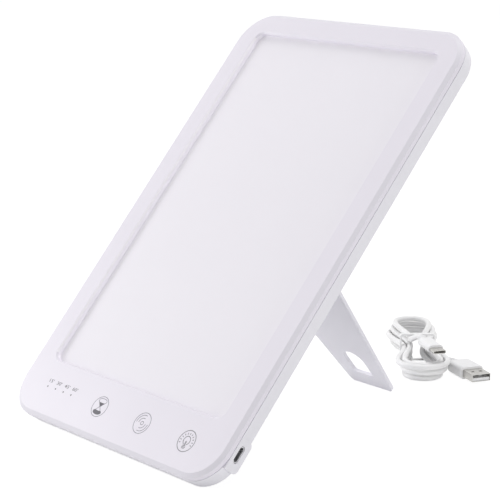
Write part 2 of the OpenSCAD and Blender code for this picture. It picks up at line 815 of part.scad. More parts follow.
module cable_lead_lamp() {
    color("white") on_hank() tube(lead_lamp, cable_d, sweep_fn);
}

module cable_lead_charger() {
    color("white") on_hank() tube(lead_charger, cable_d, sweep_fn);
}

module on_plug(at, turn) {
    on_hank() translate(at) rotate([0, 0, turn]) rotate([90, 0, 0]) children();
}

module plug_lamp_relief() { color("white") on_plug(plug_lamp_at, plug_lamp_turn) relief(relief_c_d); }
module plug_charger_relief() { color("white") on_plug(plug_charger_at, plug_charger_turn) relief(relief_a_d); }

// Tapered strain relief with a groove behind each rib
module relief(d) {
    pitch = relief_len / relief_ribs;
    rise = (d - cable_d - 2 * relief_groove) / 2 / relief_ribs;
    rotate_extrude() polygon(concat([[0, 0]],
        [for (k = [0:relief_ribs - 1]) let (r = cable_d / 2 + relief_groove + rise * (k + 1)) each
            [[r, pitch * k], [r, pitch * (k + 0.6)], [r - relief_groove, pitch * (k + 0.6)],
                [r - relief_groove, pitch * (k + 1)]]],
        [[0, relief_len]]));
}

// Moulded grip with soft edges at both ends, most where the cable enters
module grip(w, t, r, len, edge) {
    hull() {
        for (e = [[0, 1], [0.3, 0.3]]) {
            grip_slice(w, t, r, e[1] * edge, e[0] * edge, len / 2);
            grip_slice(w, t, r, e[1] * edge / 2, len / 2, len - e[0] * edge / 2);
        }
        grip_slice(w, t, r, 0, edge, len - edge / 2);
    }
}
module grip_slice(w, t, r, inset, z0, z1) {
    translate([0, 0, z0]) linear_extrude(z1 - z0)
        rounded(w - 2 * inset, t - 2 * inset, r - inset, $fn = 32);
}

module plug_lamp_grip() {
    color("white") on_plug(plug_lamp_at, plug_lamp_turn) translate([0, 0, relief_len])
        grip(grip_c_w, grip_c_t, grip_c_r, grip_c_len, grip_c_edge);
}

module plug_lamp_shell() {
    color("silver") on_plug(plug_lamp_at, plug_lamp_turn) difference() {
        translate([0, 0, relief_len + grip_c_len]) linear_extrude(6.6) stadium(8.25, 2.4);
        translate([0, 0, relief_len + grip_c_len + plug_base]) linear_extrude(6.6) stadium(7.2, 1.4);
    }
}

module plug_charger_grip() {
    color("white") on_plug(plug_charger_at, plug_charger_turn) translate([0, 0, relief_len])
        grip(grip_a_w, grip_a_t, grip_a_r, grip_a_len, grip_a_edge);
}

module plug_charger_shell() {
    color("silver") on_plug(plug_charger_at, plug_charger_turn)
        translate([0, 0, relief_len + grip_a_len]) difference() {
        linear_extrude(12.4) square([12, 4.5], center = true);
        translate([0, 0, plug_base]) linear_extrude(12.4) square([11.4, 3.9], center = true);
        for (x = [-2.6, 2.6]) translate([x, 0, 6]) cube([2, 10, 2.2], center = true);
    }
}

module plug_charger_insert() {
    color("white") on_plug(plug_charger_at, plug_charger_turn)
        translate([-5.6, -1.9, relief_len + grip_a_len + plug_base]) cube([11.2, 1.8, 11]);
}

// ============================ Nodes ============================

front_bezel();
back_shell();
diffuser();
light_guide();
reflector_sheet();
light_strip_left();
light_strip_right();
emitters_left();
emitters_right();
foam_strips();
control_board();
board_parts();
board_screws();
strip_leads();
touch_springs();
timer_leds();
timer_light_pipe();
socket_shell();
socket_tongue();
case_screws();
kickstand();
hinge_pins();
hinge_washers();
cable_hank();
cable_tie();
cable_lead_lamp();
cable_lead_charger();
plug_lamp_relief();
plug_lamp_grip();
plug_lamp_shell();
plug_charger_relief();
plug_charger_grip();
plug_charger_shell();
plug_charger_insert();
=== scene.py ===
# %% [markdown]
# # A light therapy lamp on its kickstand
# The object is a thin white light panel, about the size of a tablet, that leans back on a fold-out
# stand. Its tied USB cable lies on the table behind it. The solid pieces come ready-made from the
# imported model, in metres, and stay exactly where they are. What this script adds is what a solid
# model can't show: the finishes, the printed marks, the soft cable, and a place to photograph it.

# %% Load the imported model
import json
import math

import bmesh
import bpy
from mathutils import Matrix, Vector


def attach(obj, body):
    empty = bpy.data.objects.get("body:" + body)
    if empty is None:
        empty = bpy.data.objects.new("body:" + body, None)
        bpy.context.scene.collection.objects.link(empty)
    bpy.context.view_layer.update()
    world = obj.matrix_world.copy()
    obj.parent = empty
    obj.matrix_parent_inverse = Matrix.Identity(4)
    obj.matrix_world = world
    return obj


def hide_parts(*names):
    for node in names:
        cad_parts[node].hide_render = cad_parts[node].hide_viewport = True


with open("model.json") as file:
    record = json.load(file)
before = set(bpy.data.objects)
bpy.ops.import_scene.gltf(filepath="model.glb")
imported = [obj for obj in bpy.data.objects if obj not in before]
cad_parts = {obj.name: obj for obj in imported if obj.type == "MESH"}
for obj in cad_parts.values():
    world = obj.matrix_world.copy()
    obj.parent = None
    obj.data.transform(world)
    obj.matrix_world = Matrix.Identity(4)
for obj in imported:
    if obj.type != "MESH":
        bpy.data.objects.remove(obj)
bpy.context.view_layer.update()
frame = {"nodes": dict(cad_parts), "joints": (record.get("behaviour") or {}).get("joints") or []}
nodes = frame["nodes"]
MM = 0.001


def rounded(values):
    return [round(v, 4) for v in values]


# %% [markdown]
# The panel leans, so marks on its face are easiest to draw flat and then lean. The hinge of the
# stand is a point that is known in both places: in the flat drawing it lies 150.5 mm up and
# 10.8 mm deep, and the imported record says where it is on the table. One matrix built round that
# point takes any drawing from the flat panel to the leaning one, and its inverse goes back.

# %% The panel's own frame
LEAN = math.radians(49)
HINGE_ON_PANEL = Vector((0, 150.5, -10.8)) * MM
hinge = Vector(frame["joints"][0]["pos_m"])
lean_back = Matrix.Rotation(LEAN, 4, "X")
on_panel = Matrix.Translation(hinge) @ lean_back @ Matrix.Translation(-HINGE_ON_PANEL)
to_panel = on_panel.inverted()
flatten = to_panel.to_3x3()
print("panel's lower front edge at", rounded(on_panel @ Vector((0, 0, 0))))

# %% [markdown]
# The camera comes first, because it settles what has to look right. It was matched to the
# photograph from the window's four corners and the row of buttons: a long lens from the lamp's
# right, a little above it. A long lens keeps the panel's far corner almost as large as the near one.

# %% The camera
SENSOR = 36
LENS_TO_SENSOR = 1795.4 / 500
CAMERA_ON_PANEL = Vector((741.83, -115.13, 585.67)) * MM
LOOK_ON_PANEL = Vector((-0.74943, 0.25282, -0.61191))


def new_object(name, data):
    piece = bpy.data.objects.new(name, data)
    bpy.context.scene.collection.objects.link(piece)
    return piece


eye = bpy.data.cameras.new("camera")
eye.sensor_width = SENSOR
eye.lens = SENSOR * LENS_TO_SENSOR
eye.clip_start, eye.clip_end = 0.01, 50
camera = new_object("camera", eye)
look = on_panel.to_3x3() @ LOOK_ON_PANEL
camera.location = on_panel @ CAMERA_ON_PANEL
camera.rotation_euler = look.to_track_quat("-Z", "Y").to_euler()
bpy.context.scene.camera = camera
looking_down = -math.degrees(math.asin(look.normalized().z))
print("camera height %.3f m, looking down %.1f degrees" % (camera.location.z, looking_down))

# %% [markdown]
# ## The cable's path
# A new USB cable is folded into a hank and tied at its waist. One loop is a run out, a round fold,
# a run back and another fold. The loops pile up in layers that spiral in and out by turns, and each
# layer climbs to the next along a run, so the tube never passes through itself. Two round folds
# and two runs can be written as one function of the distance along the loop. This keeps the whole
# hank in a few named sizes, and it is the same rule as the solid hank follows.

# %% Sizes of the hank, in millimetres
CABLE = 3.5
HANK_LENGTH = 111
FOLD_RADIUS = 3 * CABLE
LOOP_STEP = 4.7
WAIST = 7
LAYERS = 4
LAYER_GAP = 0.5
LAYER_STEP = CABLE + LAYER_GAP
LAYER_TURNS, CLIMB_TURNS, FIRST_TURN = 1, 0.5, 0.25
TABLE_GAP = 0.45
LOWEST = CABLE / 2 + TABLE_GAP
OUTER = FOLD_RADIUS + LOOP_STEP
NEAR = OUTER + CABLE / 2
FAR = HANK_LENGTH - NEAR
TIE = (NEAR + FAR) / 2
TURNS = (LAYERS - 1) * (LAYER_TURNS + CLIMB_TURNS)
HANK_START = Vector((18.8, 123.613, 0)) * MM
HANK_HEADING = math.radians(50.1)
hank_place = Matrix.Translation(HANK_START) @ Matrix.Rotation(HANK_HEADING, 4, "Z")
print("hank: %d mm long, %.1f turns in %d layers" % (HANK_LENGTH, TURNS, LAYERS))


# %% One point of the hank
def layer_and_rest(turn):
    span = LAYER_TURNS + CLIMB_TURNS
    layer = min(LAYERS - 1, int((turn + FIRST_TURN) // span))
    return layer, turn + FIRST_TURN - layer * span


def hank_point(turn):
    layer, rest = layer_and_rest(turn)
    share = min(1, rest / LAYER_TURNS)
    radius = FOLD_RADIUS + LOOP_STEP * (1 - share if layer % 2 == 0 else share)
    climb = min(1, max(0, rest - LAYER_TURNS) / CLIMB_TURNS)
    height = LOWEST + LAYER_STEP * (layer + (1 - math.cos(math.pi * climb)) / 2)
    run, fold = FAR - TIE, math.pi * OUTER
    along = (turn % 1) * (4 * run + 2 * fold)

    def drawn_in(y):
        return WAIST * math.cos(math.pi / 2 * min(1, abs(y - TIE) / (TIE - NEAR))) ** 2

    if along < run:
        y = TIE + along
        return Vector((radius - drawn_in(y), y, height))
    if along < run + fold:
        a = math.pi * (along - run) / fold
        return Vector((radius * math.cos(a), FAR + radius * math.sin(a), height))
    if along < 3 * run + fold:
        y = FAR - (along - run - fold)
        return Vector((drawn_in(y) - radius, y, height))
    if along < 3 * run + 2 * fold:
        a = math.pi + math.pi * (along - 3 * run - fold) / fold
        return Vector((radius * math.cos(a), NEAR + radius * math.sin(a), height))
    y = NEAR + along - 3 * run - 2 * fold
    return Vector((radius - drawn_in(y), y, height))


def length_of(points):
    return sum((b - a).length for a, b in zip(points, points[1:]))


PER_TURN = 64
hank = [hank_point(k / PER_TURN) for k in range(int(TURNS * PER_TURN) + 1)]
print("hank: %.0f mm of cable" % length_of(hank))

# %% [markdown]
# At each end of the hank the cable leaves the tie, bends gently and enters its plug. These short
# stretches have no rule, only a few points, so a smooth curve is passed through them. A
# Catmull-Rom curve is the simplest that goes through its own points: each span uses the
# neighbours on both sides to set its slope.

# %% The two free stretches and the whole route
LAMP_PLUG = Vector((0.5, 38, 18.7))
CHARGER_PLUG = Vector((20.3, 37.6, 3.9))
LEAVES_TIE = 52
to_lamp = [
    hank[-1], (hank[-1].x, LEAVES_TIE, hank[-1].z), (-4.4, 49.5, 14.8), (-3.5, 46.8, 16.2),
    (-2, 44, 17.7), (-0.3, 41.2, 18.7), LAMP_PLUG,
]
to_charger = [
    hank[0], (hank[0].x, LEAVES_TIE, hank[0].z), (7.4, 49.8, 2.3), (9.2, 47.7, 2.6), (12, 46.4, 3),
    (15, 45.4, 3.4), (16.8, 44.3, 3.6), (18.2, 42.7, 3.8), (19.1, 40.9, 3.9), CHARGER_PLUG,
]


def smooth(points, steps=8):
    p = [Vector(q) for q in points]
    p = [2 * p[0] - p[1], *p, 2 * p[-1] - p[-2]]
    out = []
    for a, b, c, d in zip(p, p[1:], p[2:], p[3:]):
        once, squared, cubed = c - a, 2 * a - 5 * b + 4 * c - d, 3 * b - a - 3 * c + d
        for k in range(steps):
            t = k / steps
            out.append(0.5 * (2 * b + once * t + squared * t**2 + cubed * t**3))
    return out + [p[-2]]


route = smooth(to_charger)[::-1][:-1] + hank + smooth(to_lamp)[1:]
route = [hank_place @ (p * MM) for p in route]

# %% [markdown]
# ## Finishes
# Almost everything here is white plastic, and that makes the finish matter more, not less: a
# moulded case has a fine spark-eroded grain that softens its highlights, the light window is a
# satin opal sheet, and the cable is softer and warmer. One helper builds such a plastic from
# noise in Object coordinates. The colour wanders by a few hundredths, the grain is a small bump,
# and the gloss varies over a hand's width, as handling leaves it.

# %% Helpers for node materials
NOISE_LOW, NOISE_HIGH = 0.3, 0.7


def new_material(name):
    m = bpy.data.materials.new(name)
    m.use_nodes = True
    tree = m.node_tree
    tree.nodes.clear()
    out = tree.nodes.new("ShaderNodeOutputMaterial")
    shader = tree.nodes.new("ShaderNodeBsdfPrincipled")
    tree.links.new(shader.outputs["BSDF"], out.inputs["Surface"])
    coords = tree.nodes.new("ShaderNodeTexCoord")
    return m, tree, shader, coords.outputs["Object"]


def noise(tree, where, scale, detail=3, roughness=0.5):
    n = tree.nodes.new("ShaderNodeTexNoise")
    n.inputs["Scale"].default_value = scale
    n.inputs["Detail"].default_value = detail
    n.inputs["Roughness"].default_value = roughness
    tree.links.new(where, n.inputs["Vector"])
    return n.outputs["Fac"]


def spread(tree, value, low, high):
    n = tree.nodes.new("ShaderNodeMapRange")
    n.inputs["From Min"].default_value = NOISE_LOW
    n.inputs["From Max"].default_value = NOISE_HIGH
    n.inputs["To Min"].default_value, n.inputs["To Max"].default_value = low, high
    tree.links.new(value, n.inputs["Value"])
    return n.outputs["Result"]


def paint(tree, shader, pattern, first, second):
    share = spread(tree, pattern, 0, 1)
    n = tree.nodes.new("ShaderNodeMix")
    n.data_type = "RGBA"
    n.inputs["A"].default_value = (*first, 1)
    n.inputs["B"].default_value = (*second, 1)
    tree.links.new(share, n.inputs["Factor"])
    tree.links.new(n.outputs["Result"], shader.inputs["Base Color"])


def polish(tree, shader, pattern, low, high):
    tree.links.new(spread(tree, pattern, low, high), shader.inputs["Roughness"])


def bump(tree, shader, height, strength, depth):
    n = tree.nodes.new("ShaderNodeBump")
    n.inputs["Strength"].default_value = strength
    n.inputs["Distance"].default_value = depth
    tree.links.new(height, n.inputs["Height"])
    tree.links.new(n.outputs["Normal"], shader.inputs["Normal"])


# %% Moulded plastic
PATCHES = 14
GLOSSIER, DULLER = 0.04, 0.05
GRAIN_STRENGTH = 0.35


def moulded(name, colour, rough, grain=2200, depth=0.00002, vary=0.02, gloss=0.5):
    m, tree, shader, where = new_material(name)
    darker = tuple(max(0, c - vary) for c in colour)
    wide = noise(tree, where, PATCHES, detail=2)
    paint(tree, shader, wide, colour, darker)
    polish(tree, shader, wide, rough - GLOSSIER, rough + DULLER)
    bump(tree, shader, noise(tree, where, grain, detail=2), GRAIN_STRENGTH, depth)
    shader.inputs["Specular IOR Level"].default_value = gloss
    return m


case_white = moulded("case_white", (0.835, 0.804, 0.876), 0.42)
shell_white = moulded("shell_white", (0.85, 0.838, 0.888), 0.42)
stand_white = moulded("stand_white", (0.842, 0.831, 0.886), 0.48)
plug_white = moulded("plug_white", (0.87, 0.87, 0.875), 0.4, grain=3000)
tie_white = moulded("tie_white", (0.88, 0.88, 0.88), 0.3, grain=900)
socket_black = moulded("socket_black", (0.045, 0.045, 0.05), 0.5)
washer_black = moulded("washer_black", (0.06, 0.06, 0.06), 0.6)
chip_black = moulded("chip_black", (0.03, 0.03, 0.033), 0.55, vary=0.01)
timer_grey = moulded("timer_grey", (0.1, 0.1, 0.11), 0.5, vary=0.03)
print("case finishes:", case_white.name, shell_white.name, stand_white.name)

# %% [markdown]
# The light window is an opal acrylic sheet. Light goes a little way into it, which softens every
# shadow on it, so it gets some subsurface scattering with a short radius. Its colour is a little
# lighter than the case's, and its grain is coarser, like that of a rolled sheet.

# %% Opal sheet
OPAL_CLEAR, OPAL_CLOUDY = (0.885, 0.858, 0.918), (0.875, 0.848, 0.908)
LIGHT_REACH = 0.004

opal, tree, shader, where = new_material("opal")
paint(tree, shader, noise(tree, where, 9, detail=2), OPAL_CLEAR, OPAL_CLOUDY)
polish(tree, shader, noise(tree, where, 700, detail=2), 0.5, 0.6)
bump(tree, shader, noise(tree, where, 900), strength=0.3, depth=0.00003)
shader.inputs["Subsurface Weight"].default_value = 0.25
shader.inputs["Subsurface Radius"].default_value = (LIGHT_REACH, LIGHT_REACH, LIGHT_REACH)
shader.inputs["Subsurface Scale"].default_value = 0.5
print("window finish:", opal.name)

# %% [markdown]
# The cable's sleeve is soft plastic with a low, slightly uneven sheen, and three layers of noise
# give its colour, its gloss and its fine skin. The plug shells are stamped steel with nickel on
# it: a grey metal with fine scratches that all run one way, which stretched noise gives.

# %% Cable sleeve and plated metal
SLEEVE_LIGHT, SLEEVE_DARK = (0.87, 0.868, 0.87), (0.84, 0.838, 0.84)
SCRATCHES = 250
METAL_DARKER = 0.88
METAL_DULLER = 0.14

sleeve, tree, shader, where = new_material("sleeve")
paint(tree, shader, noise(tree, where, 60), SLEEVE_LIGHT, SLEEVE_DARK)
polish(tree, shader, noise(tree, where, 300, detail=2), 0.36, 0.48)
bump(tree, shader, noise(tree, where, 1400), strength=0.3, depth=0.00003)


def plated(name, colour, rough, stretch=(1, 1, 30)):
    m, tree, shader, where = new_material(name)
    turn = tree.nodes.new("ShaderNodeMapping")
    turn.inputs["Scale"].default_value = stretch
    tree.links.new(where, turn.inputs["Vector"])
    streaks = noise(tree, turn.outputs["Vector"], SCRATCHES, detail=4)
    paint(tree, shader, streaks, colour, tuple(c * METAL_DARKER for c in colour))
    polish(tree, shader, streaks, rough, rough + METAL_DULLER)
    bump(tree, shader, streaks, strength=0.15, depth=0.00002)
    shader.inputs["Metallic"].default_value = 1
    return m


nickel = plated("nickel", (0.56, 0.55, 0.53), 0.26)
steel = plated("steel", (0.55, 0.55, 0.56), 0.3)
socket_tin = plated("socket_tin", (0.86, 0.86, 0.88), 0.5)
gold_spring = plated("gold_spring", (0.75, 0.6, 0.3), 0.3)
print("metals:", nickel.name, steel.name, socket_tin.name, gold_spring.name)

# %% [markdown]
# The pieces inside the case never show in the photograph, but the model is reusable, so each
# gets the finish that such a piece usually has: a clear light guide, a white reflector film, white
# strip boards with pale yellow light emitters, dark foam and a green board.

# %% Inner finishes
GUIDE_CLEAR, GUIDE_TINT = (0.93, 0.96, 0.97), (0.89, 0.93, 0.94)

clear_guide, tree, shader, where = new_material("clear_guide")
paint(tree, shader, noise(tree, where, 500, detail=2), GUIDE_CLEAR, GUIDE_TINT)
shader.inputs["Transmission Weight"].default_value = 0.85
shader.inputs["Roughness"].default_value = 0.05
shader.inputs["IOR"].default_value = 1.49
reflector = moulded("reflector", (0.9, 0.9, 0.9), 0.25, grain=500, vary=0.01)
strip_white = moulded("strip_white", (0.82, 0.85, 0.83), 0.35, vary=0.03)
emitter_yellow = moulded("emitter_yellow", (0.86, 0.72, 0.25), 0.3, vary=0.08)
foam_dark = moulded("foam_dark", (0.05, 0.05, 0.055), 0.9, grain=600, depth=0.0002)
board_green = moulded("board_green", (0.02, 0.16, 0.06), 0.3, grain=400, vary=0.015)
lead_red = moulded("lead_red", (0.45, 0.03, 0.02), 0.4, vary=0.05)

# %% Give every ready-made piece its finish
finishes = {
    "front_bezel": case_white,
    "back_shell": shell_white,
    "diffuser": opal,
    "light_guide": clear_guide,
    "reflector_sheet": reflector,
    "light_strip_left": strip_white,
    "light_strip_right": strip_white,
    "emitters_left": emitter_yellow,
    "emitters_right": emitter_yellow,
    "foam_strips": foam_dark,
    "control_board": board_green,
    "board_parts": chip_black,
    "board_screws": steel,
    "strip_leads": lead_red,
    "touch_springs": gold_spring,
    "timer_leds": emitter_yellow,
    "timer_light_pipe": timer_grey,
    "socket_shell": socket_tin,
    "socket_tongue": socket_black,
    "case_screws": steel,
    "kickstand": stand_white,
    "hinge_pins": steel,
    "hinge_washers": washer_black,
    "cable_hank": sleeve,
    "cable_tie": tie_white,
    "cable_lead_lamp": sleeve,
    "cable_lead_charger": sleeve,
    "plug_lamp_relief": plug_white,
    "plug_lamp_grip": plug_white,
    "plug_lamp_shell": nickel,
    "plug_charger_relief": plug_white,
    "plug_charger_grip": plug_white,
    "plug_charger_shell": nickel,
    "plug_charger_insert": plug_white,
}
for name, finish in finishes.items():
    nodes[name].data.materials.clear()
    nodes[name].data.materials.append(finish)
print("finished:", len(finishes), "of", len(nodes), "nodes")

# %% [markdown]
# A flat bevel runs round the front frame. It gets a finer grain and less gloss than the faces beside
# it, and a colour a little darker than the case's. That darker colour is painted shade, which makes
# the bevel read as one darker line. Whether the real bevel is smoother isn't known. The bevel's faces
# are found by their tilt: seen in the panel's own frame they lean about 32 degrees away from the
# front.

# %% The smooth bevel round the front, with painted shade
BEVEL_TILT_LOW, BEVEL_TILT_HIGH = 0.8, 0.9
frame_mesh = nodes["front_bezel"].data


def give_look(mesh, faces, finish):
    mesh.materials.append(finish)
    for face in faces:
        face.material_index = len(mesh.materials) - 1
    print(finish.name, "on", len(faces), "of", len(mesh.polygons), "faces")


def is_bevel(face):
    return BEVEL_TILT_LOW < (flatten @ face.normal).z < BEVEL_TILT_HIGH


# Painted shade: the bevel's white is a little darker than the case's.
bevel_painted_shade = moulded(
    "bevel_painted_shade", (0.805, 0.783, 0.845), 0.42, grain=3500, depth=0.000008, gloss=0.2
)
give_look(frame_mesh, [face for face in frame_mesh.polygons if is_bevel(face)], bevel_painted_shade)

# %% [markdown]
# The window's wall and the narrow 45 degree edge round it are looked at from the right. The left wall
# and the edge beside it are painted lighter than the case down to the sheet, which is painted light.
# The edge's other three sides are painted a little darker than the front, which is painted shade. The
# lamps alone don't give that difference.

# %% Painted light and shade on the window's edge and left wall
SIDE_OF_WINDOW, TOP_OF_WINDOW, FOOT_OF_WINDOW = 76, 266, 32
FACING_RIGHT = 0.68
EDGE_TILT_LOW, EDGE_TILT_HIGH = 0.6, 0.8


def beside_window(face):
    centre = to_panel @ face.center / MM
    return abs(centre.x) < SIDE_OF_WINDOW and FOOT_OF_WINDOW < centre.y < TOP_OF_WINDOW


# Painted light: a lighter white for the left wall and its edge. Painted shade: a darker white for the
# edge's other three sides.
rim_painted_light = moulded("rim_painted_light", (0.93, 0.905, 0.955), 0.5)
rim_painted_shade = moulded("rim_painted_shade", (0.795, 0.765, 0.835), 0.5)
painted_light_faces, painted_shade_faces = [], []
for face in frame_mesh.polygons:
    lean = flatten @ face.normal
    if beside_window(face) and lean.x > FACING_RIGHT:
        painted_light_faces.append(face)
    elif beside_window(face) and EDGE_TILT_LOW < lean.z < EDGE_TILT_HIGH:
        painted_shade_faces.append(face)
give_look(frame_mesh, painted_light_faces, rim_painted_light)
give_look(frame_mesh, painted_shade_faces, rim_painted_shade)

# %% [markdown]
# ## The cable
# The path becomes a round cable by giving a curve a bevel depth of half the cable's thickness.
# A curve stays light and exact, and it knows its own centre line, so its length can be checked.


# %% Make the cable
def make_cable(name, points, thickness, finish):
    data = bpy.data.curves.new(name, "CURVE")
    data.dimensions = "3D"
    spline = data.splines.new("POLY")
    spline.points.add(len(points) - 1)
    for place, p in zip(spline.points, points):
        place.co = (*p, 1)
    spline.use_smooth = True
    data.bevel_depth = thickness / 2
    data.bevel_resolution = 5
    data.use_fill_caps = True
    data.materials.append(finish)
    return new_object(name, data)


cable = make_cable("usb_cable", route, CABLE * MM, sleeve)
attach(cable, "panel")
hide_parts("cable_hank", "cable_lead_lamp", "cable_lead_charger")

# %% [markdown]
# ## Printed marks
# The touch buttons don't move. Each is a mark printed on the case in thin grey ink: a timer, a
# signal-like mark of arcs, and a bulb with rays. The marks could be an image on the surface, but
# real shapes a few hundredths of a millimetre thick stay sharp at any distance. A ribbon helper
# turns a line of points into a flat strip, and a second one fills an outline.

# %% Ribbons and filled outlines
INK = 0.03
INK_GAP = 0.005
INK_MIDDLE = INK / 2 + 0.003
BUTTON_Y = 17.9
BUTTON_X = (-15, 22.7, 60.4)
RING = 6.0
LINE = 0.34
from_drawing = on_panel @ Matrix.Scale(MM, 4)


def ribbon(mesh, points, width, closed=False):
    pts = [Vector((*p, INK)) for p in points]
    n = len(pts)
    rows = []
    for k, p in enumerate(pts):
        before = pts[(k - 1) % n] if closed or k > 0 else p
        after = pts[(k + 1) % n] if closed or k < n - 1 else p
        along = (after - before).normalized()
        side = Vector((-along.y, along.x, 0)) * width / 2
        rows.append((mesh.verts.new(p + side), mesh.verts.new(p - side)))
    for k in range(n if closed else n - 1):
        (a, b), (c, d) = rows[k], rows[(k + 1) % n]
        mesh.faces.new((a, b, d, c))


def filled(mesh, points):
    mesh.faces.new([mesh.verts.new(Vector((*p, INK))) for p in points])


def arc(x, y, radius, start, end, steps=24):
    angles = [math.radians(start + (end - start) * k / steps) for k in range(steps + 1)]
    return [(x + radius * math.cos(a), y + radius * math.sin(a)) for a in angles]


def ring(mesh, x, y, radius, width):
    ribbon(mesh, arc(x, y, radius, 0, 360, steps=64)[:-1], width, closed=True)


# %% [markdown]
# A flat drawing becomes a piece in three moves: give the strips a thickness, scale them to
# metres, and lean them with the panel. Every drawn mark goes through this one function. The rays
# and the numbers come later, and the same matrix puts them on the panel.


# %% From a drawing to a piece on the panel
def finish_drawing(name, mesh, finish):
    bmesh.ops.recalc_face_normals(mesh, faces=mesh.faces)
    for f in mesh.faces:
        if f.normal.z < 0:
            f.normal_flip()
    bmesh.ops.solidify(mesh, geom=mesh.faces[:], thickness=INK - INK_GAP)
    bmesh.ops.transform(mesh, matrix=from_drawing, verts=mesh.verts)
    data = bpy.data.meshes.new(name)
    mesh.to_mesh(data)
    mesh.free()
    data.materials.append(finish)
    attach(new_object(name, data), "panel")
    print(name, "faces:", len(data.polygons))


grey_ink = moulded("grey_ink", (0.27, 0.26, 0.31), 0.5, vary=0.04)
dark_ink = moulded("dark_ink", (0.115, 0.11, 0.13), 0.5)
digit_ink = moulded("digit_ink", (0.2, 0.195, 0.22), 0.5)


# %% Timer mark: an hourglass in a ring
def placed(points, x, y):
    return [(x + px, y + py) for px, py in points]


def mirrored(points):
    return points + [(-px, py) for px, py in reversed(points) if px != 0]


GLASS_TOP = mirrored(
    [(-0.2, 0.2), (-2.2, 2.2), (-3.1, 3.0), (-3.35, 3.55), (-2.9, 4.2), (-1.7, 4.7), (0, 4.85)]
)
GLASS_LOW = [(-3.2, -3.0), (-2.1, -2.2), (-0.2, -0.1)]
x, y = BUTTON_X[0], BUTTON_Y
mark = bmesh.new()
ring(mark, x, y, RING, LINE)
ribbon(mark, placed(GLASS_TOP, x, y), LINE)
ribbon(mark, placed(GLASS_LOW, x, y), LINE)
ribbon(mark, placed([(-px, py) for px, py in GLASS_LOW], x, y), LINE)
finish_drawing("timer_mark", mark, grey_ink)

# %% The sand in the hourglass
SAND_TOP = [(-2.5, 2.45), (0, 2.3), (2.5, 2.45), (0.15, -0.2), (-0.15, -0.2)]
HEAP = [(0, -4.8), (-1.8, -4.6), (-3.1, -4.0), (-3.5, -3.2), (-3.1, -2.5), (-2.4, -2.15), (0, -2.4)]
SAND_LOW = mirrored(HEAP)[::-1]
sand = bmesh.new()
filled(sand, placed(SAND_TOP, x, y))
filled(sand, placed(SAND_LOW, x, y))
finish_drawing("timer_sand", sand, dark_ink)

# %% Level mark: arcs round a small ring
CORE = 1.0
LEVEL_RADII = (2.85, 4.6)
ARC_STARTS, ARC_SWEEP = (78, -102), 104
x = BUTTON_X[1]
mark = bmesh.new()
ring(mark, x, y, RING, LINE)
ring(mark, x, y, CORE, LINE)
for radius in LEVEL_RADII:
    for start in ARC_STARTS:
        ribbon(mark, arc(x, y, radius, start, start + ARC_SWEEP), LINE)
finish_drawing("level_mark", mark, grey_ink)

# %% Light mark: a bulb in a ring
BULB_X, BULB_Y = BUTTON_X[2], 17.65
BULB_LINE = LINE * 1.15
BULB_RADIUS, BULB_LIFT = 2.4, 0.3
NECK_X, NECK_Y = 1.1, -2.2
BASE_HALVES, BASE_TOP, BASE_STEP = (1.2, 1.35, 1.0), -2.7, 0.7
FILAMENT = [
    (-0.22, -2.4), (-0.22, -1.0), (-0.45, -0.4), (0, -0.1), (0.45, -0.4), (0.22, -1.0), (0.22, -2.4),
]
glass = arc(0, BULB_LIFT, BULB_RADIUS, -62, 242, steps=36)
outline = [(NECK_X, NECK_Y), *glass, (-NECK_X, NECK_Y)]
mark = bmesh.new()
ring(mark, BULB_X, BULB_Y, RING, BULB_LINE)
ribbon(mark, placed(outline, BULB_X, BULB_Y), BULB_LINE)
for k, half in enumerate(BASE_HALVES):
    base_y = BASE_TOP - BASE_STEP * k
    ribbon(mark, placed([(-half, base_y), (half, base_y)], BULB_X, BULB_Y), BULB_LINE)
ribbon(mark, placed(FILAMENT, BULB_X, BULB_Y), LINE)
finish_drawing("light_mark", mark, digit_ink)

# %% [markdown]
# The bulb has a ring of short rays, which all have one shape, so they are a job for Geometry
# Nodes. An arc gives the places, each place gets one small box turned along the arc's radius, and
# the copies are then made real and given their ink. The tree has a named input for each size.

# %% A node tree for short ticks along an arc
TICK_SIZES = {"Count": "Int", "Radius": "Float", "Start": "Float", "Sweep": "Float", "Tick": "Vector"}


def ticks_tree(finish):
    tree = bpy.data.node_groups.new("ticks_on_arc", "GeometryNodeTree")
    tree.interface.new_socket("Geometry", in_out="OUTPUT", socket_type="NodeSocketGeometry")
    for label, kind in TICK_SIZES.items():
        tree.interface.new_socket(label, in_out="INPUT", socket_type="NodeSocket" + kind)
    add, link = tree.nodes.new, tree.links.new
    given, out = add("NodeGroupInput"), add("NodeGroupOutput")
    path = add("GeometryNodeCurveArc")
    link(given.outputs["Count"], path.inputs["Resolution"])
    link(given.outputs["Radius"], path.inputs["Radius"])
    link(given.outputs["Start"], path.inputs["Start Angle"])
    link(given.outputs["Sweep"], path.inputs["Sweep Angle"])
    tick = add("GeometryNodeMeshCube")
    link(given.outputs["Tick"], tick.inputs["Size"])
    turn = add("FunctionNodeAlignEulerToVector")
    turn.axis = "X"
    link(add("GeometryNodeInputPosition").outputs["Position"], turn.inputs["Vector"])
    places = add("GeometryNodeInstanceOnPoints")
    link(path.outputs["Curve"], places.inputs["Points"])
    link(tick.outputs["Mesh"], places.inputs["Instance"])
    link(turn.outputs["Rotation"], places.inputs["Rotation"])
    real = add("GeometryNodeRealizeInstances")
    coat = add("GeometryNodeSetMaterial")
    coat.inputs["Material"].default_value = finish
    link(places.outputs["Instances"], real.inputs["Geometry"])
    link(real.outputs["Geometry"], coat.inputs["Geometry"])
    link(coat.outputs["Geometry"], out.inputs["Geometry"])
    return tree


